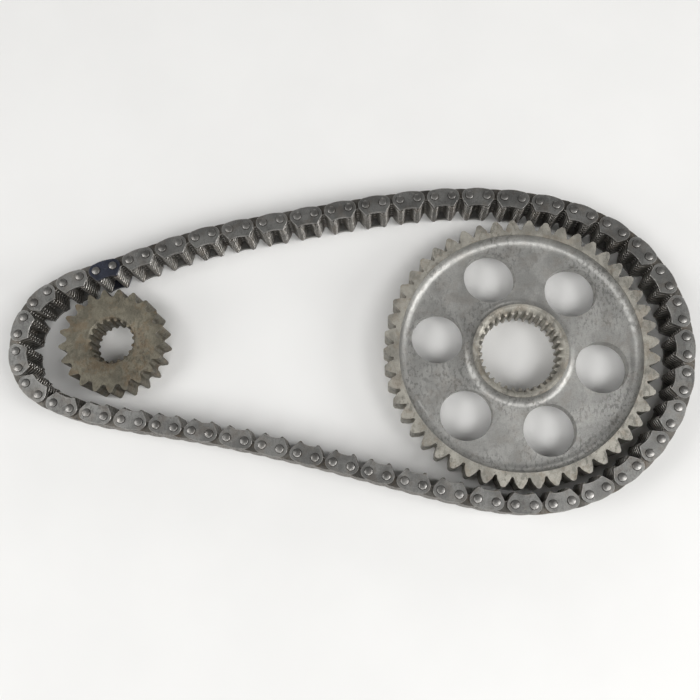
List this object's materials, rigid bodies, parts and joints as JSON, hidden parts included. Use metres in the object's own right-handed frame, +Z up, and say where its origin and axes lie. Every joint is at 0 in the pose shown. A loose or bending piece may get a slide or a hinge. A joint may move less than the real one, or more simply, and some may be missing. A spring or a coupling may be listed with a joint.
{
  "type": "silent chain with sprockets",
  "caption": "Endless inverted-tooth silent chain lying flat round a small and a large loose splined sprocket; laced riveted plates, dark joining link, holed sprocket web.",
  "frame": {"origin": "centre of the bounding box in plan, on the surface that the chain and the sprockets lie on", "axes": "+Z up along the chain pins and sprocket axes; +X along the line from the small sprocket to the large one"},
  "size_m": [0.365, 0.1754, 0.025],
  "materials": {
    "chain_steel": "satin",
    "joining_link_steel": "satin",
    "small_sprocket_steel": "matte",
    "large_sprocket_steel": "satin"
  },
  "bodies": {
    "joining_link": {"joining_guide_plates": "joining_link_steel", "joining_tooth_plates": "joining_link_steel", "joining_pins": "joining_link_steel"},
    "inner_link_01": {"inner_link_01": "chain_steel"},
    "guide_link_02": {"guide_link_02": "chain_steel"},
    "inner_link_03": {"inner_link_03": "chain_steel"},
    "guide_link_04": {"guide_link_04": "chain_steel"},
    "inner_link_05": {"inner_link_05": "chain_steel"},
    "guide_link_06": {"guide_link_06": "chain_steel"},
    "inner_link_07": {"inner_link_07": "chain_steel"},
    "guide_link_08": {"guide_link_08": "chain_steel"},
    "inner_link_09": {"inner_link_09": "chain_steel"},
    "guide_link_10": {"guide_link_10": "chain_steel"},
    "inner_link_11": {"inner_link_11": "chain_steel"},
    "guide_link_12": {"guide_link_12": "chain_steel"},
    "inner_link_13": {"inner_link_13": "chain_steel"},
    "guide_link_14": {"guide_link_14": "chain_steel"},
    "inner_link_15": {"inner_link_15": "chain_steel"},
    "guide_link_16": {"guide_link_16": "chain_steel"},
    "inner_link_17": {"inner_link_17": "chain_steel"},
    "link_18_19": {"link_18_19": "chain_steel"},
    "link_20_21": {"link_20_21": "chain_steel"},
    "link_22_23": {"link_22_23": "chain_steel"},
    "link_24_25": {"link_24_25": "chain_steel"},
    "link_26_27": {"link_26_27": "chain_steel"},
    "link_28_29": {"link_28_29": "chain_steel"},
    "link_30_31": {"link_30_31": "chain_steel"},
    "link_32_33": {"link_32_33": "chain_steel"},
    "link_34_35": {"link_34_35": "chain_steel"},
    "link_36_37": {"link_36_37": "chain_steel"},
    "link_38_39": {"link_38_39": "chain_steel"},
    "link_40_41": {"link_40_41": "chain_steel"},
    "link_42_43": {"link_42_43": "chain_steel"},
    "link_44_45": {"link_44_45": "chain_steel"},
    "link_46_47": {"link_46_47": "chain_steel"},
    "link_48_49": {"link_48_49": "chain_steel"},
    "link_50_51": {"link_50_51": "chain_steel"},
    "link_52_53": {"link_52_53": "chain_steel"},
    "link_54_55": {"link_54_55": "chain_steel"},
    "link_56_57": {"link_56_57": "chain_steel"},
    "link_58_59": {"link_58_59": "chain_steel"},
    "link_60_61": {"link_60_61": "chain_steel"},
    "link_62_63": {"link_62_63": "chain_steel"},
    "link_64_65": {"link_64_65": "chain_steel"},
    "link_66_67": {"link_66_67": "chain_steel"},
    "link_68_69": {"link_68_69": "chain_steel"},
    "link_70_71": {"link_70_71": "chain_steel"},
    "link_72_73": {"link_72_73": "chain_steel"},
    "link_74_75": {"link_74_75": "chain_steel"},
    "link_76_77": {"link_76_77": "chain_steel"},
    "link_78_79": {"link_78_79": "chain_steel"},
    "link_80_81": {"link_80_81": "chain_steel"},
    "link_82_83": {"link_82_83": "chain_steel"},
    "link_84_85": {"link_84_85": "chain_steel"},
    "link_86_87": {"link_86_87": "chain_steel"},
    "link_88_89": {"link_88_89": "chain_steel"},
    "drive_sprocket": {"small_sprocket": "small_sprocket_steel"},
    "driven_sprocket": {"large_sprocket": "large_sprocket_steel"}
  },
  "joints": [
    {"name": "driven_sprocket_spin", "type": "hinge", "parent": "link_52_53", "child": "driven_sprocket", "pos_m": [0.09262, -0.00201, 0.01], "axis": [0, 0, 1], "continuous": true},
    {"name": "drive_sprocket_spin", "type": "hinge", "parent": "guide_link_14", "child": "drive_sprocket", "pos_m": [-0.12828, -0.00201, 0.0095], "axis": [0, 0, 1], "continuous": true},
    {"name": "pin_54", "type": "hinge", "parent": "link_52_53", "child": "link_54_55", "pos_m": [0.17643, 0.01575, 0.0125], "axis": [0, 0, 1], "range_deg": [-8.3, 0]},
    {"name": "pin_56", "type": "hinge", "parent": "link_54_55", "child": "link_56_57", "pos_m": [0.17039, 0.03378, 0.0125], "axis": [0, 0, 1], "range_deg": [-8.3, 0]},
    {"name": "pin_58", "type": "hinge", "parent": "link_56_57", "child": "link_58_59", "pos_m": [0.16026, 0.04988, 0.0125], "axis": [0, 0, 1], "range_deg": [-8.4, 0]},
    {"name": "pin_60", "type": "hinge", "parent": "link_58_59", "child": "link_60_61", "pos_m": [0.14656, 0.06306, 0.0125], "axis": [0, 0, 1], "range_deg": [-9, 0]},
    {"name": "pin_62", "type": "hinge", "parent": "link_60_61", "child": "link_62_63", "pos_m": [0.13, 0.07241, 0.0125], "axis": [0, 0, 1], "range_deg": [-7.2, 0]},
    {"name": "pin_64", "type": "hinge", "parent": "link_62_63", "child": "link_64_65", "pos_m": [0.1119, 0.07829, 0.0125], "axis": [0, 0, 1], "range_deg": [-5.4, 0]},
    {"name": "pin_66", "type": "hinge", "parent": "link_64_65", "child": "link_66_67", "pos_m": [0.09316, 0.08165, 0.0125], "axis": [0, 0, 1], "range_deg": [-4.5, 0]},
    {"name": "pin_68", "type": "hinge", "parent": "link_66_67", "child": "link_68_69", "pos_m": [0.07416, 0.08304, 0.0125], "axis": [0, 0, 1], "range_deg": [-4.1, 0]},
    {"name": "pin_70", "type": "hinge", "parent": "link_68_69", "child": "link_70_71", "pos_m": [0.05512, 0.08271, 0.0125], "axis": [0, 0, 1], "range_deg": [-3.6, 0]},
    {"name": "pin_72", "type": "hinge", "parent": "link_70_71", "child": "link_72_73", "pos_m": [0.03615, 0.081, 0.0125], "axis": [0, 0, 1], "range_deg": [-3, 0]},
    {"name": "pin_74", "type": "hinge", "parent": "link_72_73", "child": "link_74_75", "pos_m": [0.0173, 0.07827, 0.0125], "axis": [0, 0, 1], "range_deg": [-2.5, 0]},
    {"name": "pin_76", "type": "hinge", "parent": "link_74_75", "child": "link_76_77", "pos_m": [-0.00145, 0.07488, 0.0125], "axis": [0, 0, 1], "range_deg": [-2.1, 0]},
    {"name": "pin_78", "type": "hinge", "parent": "link_76_77", "child": "link_78_79", "pos_m": [-0.02012, 0.07109, 0.0125], "axis": [0, 0, 1], "range_deg": [-1.7, 0]},
    {"name": "pin_80", "type": "hinge", "parent": "link_78_79", "child": "link_80_81", "pos_m": [-0.03876, 0.06716, 0.0125], "axis": [0, 0, 1], "range_deg": [-1.5, 0]},
    {"name": "pin_82", "type": "hinge", "parent": "link_80_81", "child": "link_82_83", "pos_m": [-0.05739, 0.06317, 0.0125], "axis": [0, 0, 1], "range_deg": [-2.4, 0]},
    {"name": "pin_84", "type": "hinge", "parent": "link_82_83", "child": "link_84_85", "pos_m": [-0.07588, 0.05861, 0.0125], "axis": [0, 0, 1], "range_deg": [-3.5, 0]},
    {"name": "pin_86", "type": "hinge", "parent": "link_84_85", "child": "link_86_87", "pos_m": [-0.09401, 0.05276, 0.0125], "axis": [0, 0, 1], "range_deg": [-3.5, 0]},
    {"name": "pin_88", "type": "hinge", "parent": "link_86_87", "child": "link_88_89", "pos_m": [-0.11172, 0.04575, 0.0125], "axis": [0, 0, 1], "range_deg": [-1.5, 0]},
    {"name": "pin_52", "type": "hinge", "parent": "link_52_53", "child": "link_50_51", "pos_m": [0.17807, -0.0032, 0.0125], "axis": [0, 0, -1], "range_deg": [-8.2, 0]},
    {"name": "pin_50", "type": "hinge", "parent": "link_50_51", "child": "link_48_49", "pos_m": [0.17524, -0.022, 0.0125], "axis": [0, 0, -1], "range_deg": [-8.5, 0]},
    {"name": "pin_48", "type": "hinge", "parent": "link_48_49", "child": "link_46_47", "pos_m": [0.16797, -0.03957, 0.0125], "axis": [0, 0, -1], "range_deg": [-8.2, 0]},
    {"name": "pin_46", "type": "hinge", "parent": "link_46_47", "child": "link_44_45", "pos_m": [0.15684, -0.055, 0.0125], "axis": [0, 0, -1], "range_deg": [-7.8, 0]},
    {"name": "pin_44", "type": "hinge", "parent": "link_44_45", "child": "link_42_43", "pos_m": [0.1426, -0.06761, 0.0125], "axis": [0, 0, -1], "range_deg": [-7.7, 0]},
    {"name": "pin_42", "type": "hinge", "parent": "link_42_43", "child": "link_40_41", "pos_m": [0.12599, -0.07689, 0.0125], "axis": [0, 0, -1], "range_deg": [-8, 0]},
    {"name": "pin_40", "type": "hinge", "parent": "link_40_41", "child": "link_38_39", "pos_m": [0.10773, -0.08217, 0.0125], "axis": [0, 0, -1], "range_deg": [-8.6, 0]},
    {"name": "pin_38", "type": "hinge", "parent": "link_38_39", "child": "link_36_37", "pos_m": [0.08872, -0.08301, 0.0125], "axis": [0, 0, -1], "range_deg": [-6.2, 0]},
    {"name": "pin_36", "type": "hinge", "parent": "link_36_37", "child": "link_34_35", "pos_m": [0.06982, -0.0807, 0.0125], "axis": [0, 0, -1], "range_deg": [-3.6, 0]},
    {"name": "pin_34", "type": "hinge", "parent": "link_34_35", "child": "link_32_33", "pos_m": [0.05114, -0.07699, 0.0125], "axis": [0, 0, -1], "range_deg": [-2.1, 0]},
    {"name": "pin_32", "type": "hinge", "parent": "link_32_33", "child": "link_30_31", "pos_m": [0.03254, -0.07285, 0.0125], "axis": [0, 0, -1], "range_deg": [-1.7, 0]},
    {"name": "pin_30", "type": "hinge", "parent": "link_30_31", "child": "link_28_29", "pos_m": [0.01398, -0.06858, 0.0125], "axis": [0, 0, -1], "range_deg": [-1.5, 0]},
    {"name": "pin_28", "type": "hinge", "parent": "link_28_29", "child": "link_26_27", "pos_m": [-0.00461, -0.06442, 0.0125], "axis": [0, 0, -1], "range_deg": [-1.5, 0]},
    {"name": "pin_26", "type": "hinge", "parent": "link_26_27", "child": "link_24_25", "pos_m": [-0.02325, -0.06047, 0.0125], "axis": [0, 0, -1], "range_deg": [-1.5, 0]},
    {"name": "pin_24", "type": "hinge", "parent": "link_24_25", "child": "link_22_23", "pos_m": [-0.04193, -0.05675, 0.0125], "axis": [0, 0, -1], "range_deg": [-1.5, 0]},
    {"name": "pin_22", "type": "hinge", "parent": "link_22_23", "child": "link_20_21", "pos_m": [-0.06067, -0.05335, 0.0125], "axis": [0, 0, -1], "range_deg": [-1.5, 0]},
    {"name": "pin_20", "type": "hinge", "parent": "link_20_21", "child": "link_18_19", "pos_m": [-0.07949, -0.05036, 0.0125], "axis": [0, 0, -1], "range_deg": [-1.5, 0]},
    {"name": "pin_18", "type": "hinge", "parent": "link_18_19", "child": "inner_link_17", "pos_m": [-0.09838, -0.0479, 0.0125], "axis": [0, 0, -1], "range_deg": [-1.5, 0]},
    {"name": "pin_17", "type": "hinge", "parent": "inner_link_17", "child": "guide_link_16", "pos_m": [-0.10783, -0.04675, 0.0125], "axis": [0, 0, -1], "range_deg": [-1.9, 0]},
    {"name": "pin_16", "type": "hinge", "parent": "guide_link_16", "child": "inner_link_15", "pos_m": [-0.11728, -0.04554, 0.0125], "axis": [0, 0, -1], "range_deg": [-2.3, 0]},
    {"name": "pin_15", "type": "hinge", "parent": "inner_link_15", "child": "guide_link_14", "pos_m": [-0.12671, -0.0442, 0.0125], "axis": [0, 0, -1], "range_deg": [-2.8, 0]},
    {"name": "pin_14", "type": "hinge", "parent": "guide_link_14", "child": "inner_link_13", "pos_m": [-0.13611, -0.04265, 0.0125], "axis": [0, 0, -1], "range_deg": [-4.3, 0]},
    {"name": "pin_13", "type": "hinge", "parent": "inner_link_13", "child": "guide_link_12", "pos_m": [-0.14542, -0.04063, 0.0125], "axis": [0, 0, -1], "range_deg": [-6.6, 0]},
    {"name": "pin_12", "type": "hinge", "parent": "guide_link_12", "child": "inner_link_11", "pos_m": [-0.15451, -0.03779, 0.0125], "axis": [0, 0, -1], "range_deg": [-10, 0]},
    {"name": "pin_11", "type": "hinge", "parent": "inner_link_11", "child": "guide_link_10", "pos_m": [-0.16309, -0.03365, 0.0125], "axis": [0, 0, -1], "range_deg": [-15.1, 0]},
    {"name": "pin_10", "type": "hinge", "parent": "guide_link_10", "child": "inner_link_09", "pos_m": [-0.17044, -0.0276, 0.0125], "axis": [0, 0, -1], "range_deg": [-20.2, 0]},
    {"name": "pin_09", "type": "hinge", "parent": "inner_link_09", "child": "guide_link_08", "pos_m": [-0.17547, -0.01951, 0.0125], "axis": [0, 0, -1], "range_deg": [-18.6, 0]},
    {"name": "pin_08", "type": "hinge", "parent": "guide_link_08", "child": "inner_link_07", "pos_m": [-0.17791, -0.0103, 0.0125], "axis": [0, 0, -1], "range_deg": [-16, 0]},
    {"name": "pin_07", "type": "hinge", "parent": "inner_link_07", "child": "guide_link_06", "pos_m": [-0.17796, -0.00077, 0.0125], "axis": [0, 0, -1], "range_deg": [-15.5, 0]},
    {"name": "pin_06", "type": "hinge", "parent": "guide_link_06", "child": "inner_link_05", "pos_m": [-0.1757, 0.00848, 0.0125], "axis": [0, 0, -1], "range_deg": [-17.1, 0]},
    {"name": "pin_05", "type": "hinge", "parent": "inner_link_05", "child": "guide_link_04", "pos_m": [-0.17103, 0.01678, 0.0125], "axis": [0, 0, -1], "range_deg": [-18.4, 0]},
    {"name": "pin_04", "type": "hinge", "parent": "guide_link_04", "child": "inner_link_03", "pos_m": [-0.16415, 0.02337, 0.0125], "axis": [0, 0, -1], "range_deg": [-13.8, 0]},
    {"name": "pin_03", "type": "hinge", "parent": "inner_link_03", "child": "guide_link_02", "pos_m": [-0.15603, 0.02834, 0.0125], "axis": [0, 0, -1], "range_deg": [-8.8, 0]},
    {"name": "pin_02", "type": "hinge", "parent": "guide_link_02", "child": "inner_link_01", "pos_m": [-0.14734, 0.03225, 0.0125], "axis": [0, 0, -1], "range_deg": [-5.2, 0]},
    {"name": "pin_01", "type": "hinge", "parent": "inner_link_01", "child": "joining_link", "pos_m": [-0.13842, 0.03559, 0.0125], "axis": [0, 0, -1], "range_deg": [-2.4, 0]}
  ]
}
